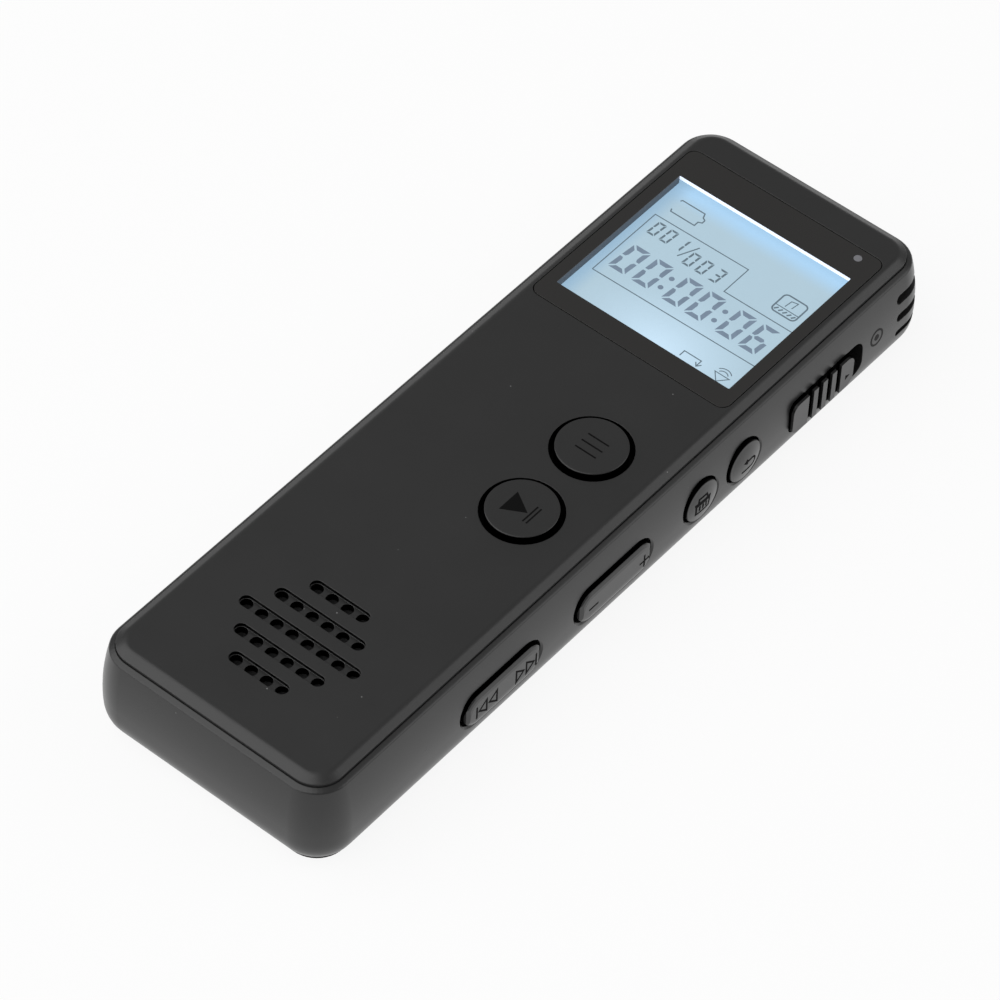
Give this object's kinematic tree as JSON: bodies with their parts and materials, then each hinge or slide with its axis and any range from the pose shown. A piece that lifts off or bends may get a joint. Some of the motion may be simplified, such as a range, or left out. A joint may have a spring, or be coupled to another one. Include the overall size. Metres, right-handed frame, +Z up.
{
  "type": "handheld voice recorder",
  "caption": "Slim pocket voice recorder with a lit display, round front keys, a speaker grille, side keys and rockers, and a sliding record switch.",
  "frame": {"origin": "middle of the flat back, on the surface the recorder lies on", "axes": "+Z up out of the display face, +Y along the body towards the display end, +X towards the side with the record slider"},
  "size_m": [0.0342, 0.1068, 0.0135],
  "materials": {
    "front_shell": "satin black",
    "frame_shell": "gloss black",
    "back_shell": "matt black",
    "panel_black": "gloss black",
    "window_clear": "clear",
    "lamp_clear": "frosted",
    "lcd_cell": "clear over pale blue",
    "light_guide": "white, lit when on",
    "white_holder": "matt white",
    "ribbon": "satin amber",
    "button_black": "satin black",
    "side_button_black": "satin black",
    "plunger": "matt black",
    "switch_metal": "plain",
    "pin_steel": "polished",
    "screw_steel": "plain",
    "board_green": "satin green",
    "chip_black": "matt",
    "part_tan": "matt",
    "led_white": "clear",
    "basket_grey": "satin",
    "magnet_steel": "plated",
    "cone_dark": "matt film",
    "foam_dark": "matt foam",
    "cloth_black": "fine weave",
    "wire_red": "satin",
    "pouch_silver": "satin foil",
    "mic_metal": "plain",
    "boot_rubber": "matt",
    "wire_yellow": "satin",
    "socket_black": "gloss black",
    "usb_steel": "plain"
  },
  "bodies": {
    "casing": {"front_cover": "front_shell", "side_frame": "frame_shell", "back_cover": "back_shell", "cover_screws": "screw_steel", "display_bezel": "panel_black", "display_window": "window_clear", "light_pipe": "lamp_clear", "lcd_glass": "lcd_cell", "lcd_light_guide": "light_guide", "lcd_holder": "white_holder", "lcd_ribbon": "ribbon", "front_switches": "switch_metal", "side_switches": "switch_metal", "rocker_pins": "pin_steel", "record_switch": "switch_metal", "main_board": "board_green", "board_screws": "screw_steel", "board_chips": "chip_black", "board_parts": "part_tan", "status_led": "led_white", "speaker_basket": "basket_grey", "speaker_magnet": "magnet_steel", "speaker_cone": "cone_dark", "speaker_gasket": "foam_dark", "speaker_cloth": "cloth_black", "speaker_leads": "wire_red", "battery_pouch": "pouch_silver", "battery_foam": "foam_dark", "battery_leads": "wire_red", "microphones": "mic_metal", "mic_boots": "boot_rubber", "mic_leads": "wire_yellow", "earphone_socket": "socket_black", "usb_shell": "usb_steel", "usb_tongue": "socket_black"},
    "menu_key": {"menu_button": "button_black", "menu_plunger": "plunger"},
    "play_key": {"play_button": "button_black", "play_plunger": "plunger"},
    "delete_key": {"delete_button": "side_button_black", "delete_plunger": "plunger"},
    "back_key": {"back_button": "side_button_black", "back_plunger": "plunger"},
    "volume_key": {"volume_rocker": "side_button_black"},
    "skip_key": {"skip_rocker": "side_button_black"},
    "record_key": {"record_slider": "side_button_black", "record_lever": "plunger"}
  },
  "joints": [
    {"name": "menu_press", "type": "slide", "parent": "casing", "child": "menu_key", "axis": [0, 0, -1], "range_m": [0, 0.0003], "stiffness_N_per_m": 5000, "springref_m": -0.0001},
    {"name": "play_press", "type": "slide", "parent": "casing", "child": "play_key", "axis": [0, 0, -1], "range_m": [0, 0.0003], "stiffness_N_per_m": 5000, "springref_m": -0.0001},
    {"name": "delete_press", "type": "slide", "parent": "casing", "child": "delete_key", "axis": [-1, 0, 0], "range_m": [0, 0.0003], "stiffness_N_per_m": 5000, "springref_m": -0.0001},
    {"name": "back_press", "type": "slide", "parent": "casing", "child": "back_key", "axis": [-1, 0, 0], "range_m": [0, 0.0003], "stiffness_N_per_m": 5000, "springref_m": -0.0001},
    {"name": "volume_rock", "type": "hinge", "parent": "casing", "child": "volume_key", "pos_m": [0.01295, -0.00495, 0.0061], "axis": [0, 0, 1], "range_deg": [-2.5, 2.5], "stiffness_Nm_per_rad": 0.3},
    {"name": "skip_rock", "type": "hinge", "parent": "casing", "child": "skip_key", "pos_m": [0.01295, -0.02405, 0.0061], "axis": [0, 0, 1], "range_deg": [-2.5, 2.5], "stiffness_Nm_per_rad": 0.3},
    {"name": "record_slide", "type": "slide", "parent": "casing", "child": "record_key", "axis": [0, 1, 0], "range_m": [0, 0.002]}
  ]
}
